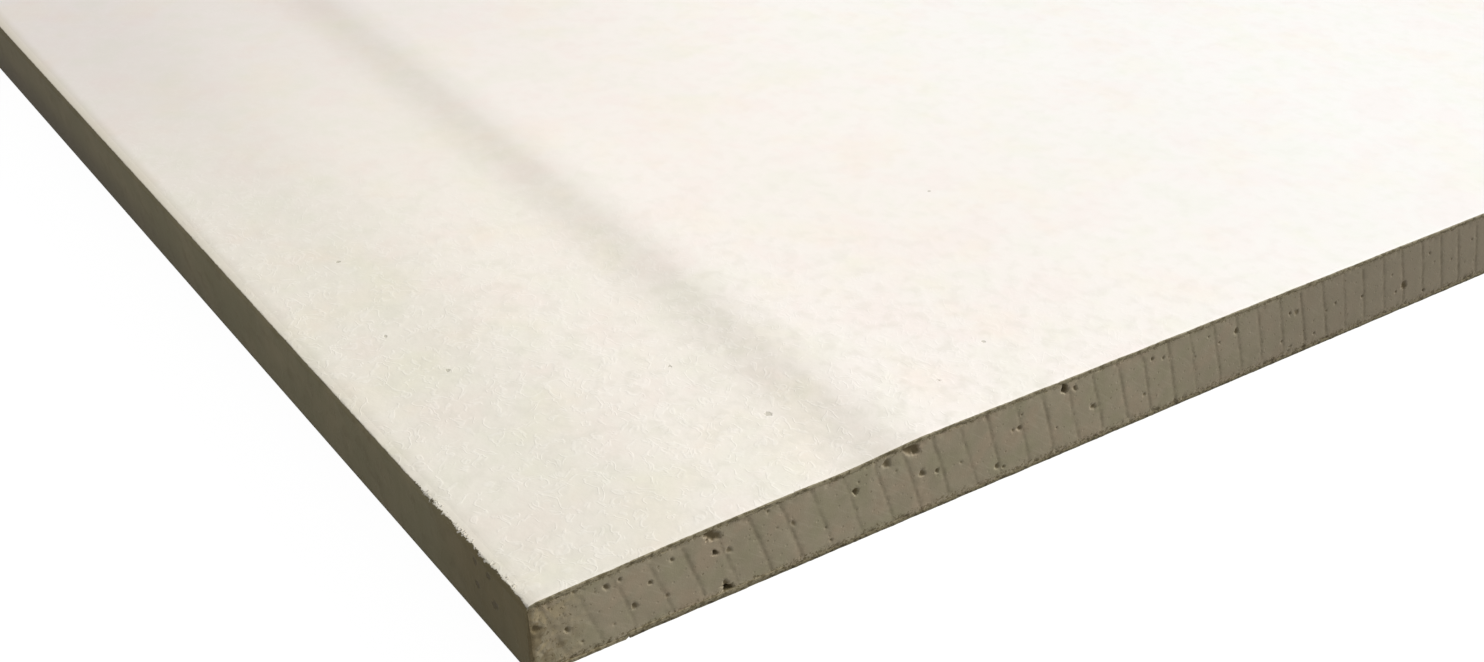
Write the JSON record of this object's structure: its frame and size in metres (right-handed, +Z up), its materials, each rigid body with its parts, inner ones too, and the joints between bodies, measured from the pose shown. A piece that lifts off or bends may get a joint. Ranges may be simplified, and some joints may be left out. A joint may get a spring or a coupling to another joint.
{
  "type": "drywall sheet",
  "caption": "Flat gypsum wallboard sheet with paper faces, two tapered long edges wrapped in the face paper, and square cut ends that show the core.",
  "frame": {"origin": "under the middle of the sheet, on the plane that it lies on", "axes": "+X across the sheet from one tapered long edge to the other, +Y along its length from one cut end to the other, +Z up through its thickness, towards the ivory face"},
  "size_m": [1.2192, 2.4384, 0.0127],
  "materials": {
    "gypsum": "matt sawn gypsum with open air bubbles",
    "face_paper": "matt ivory paper, faintly fibrous",
    "back_paper": "matt grey-brown recycled paper"
  },
  "bodies": {
    "root": {"gypsum_core": "gypsum", "face_paper": "face_paper", "back_paper": "back_paper"}
  },
  "joints": []
}
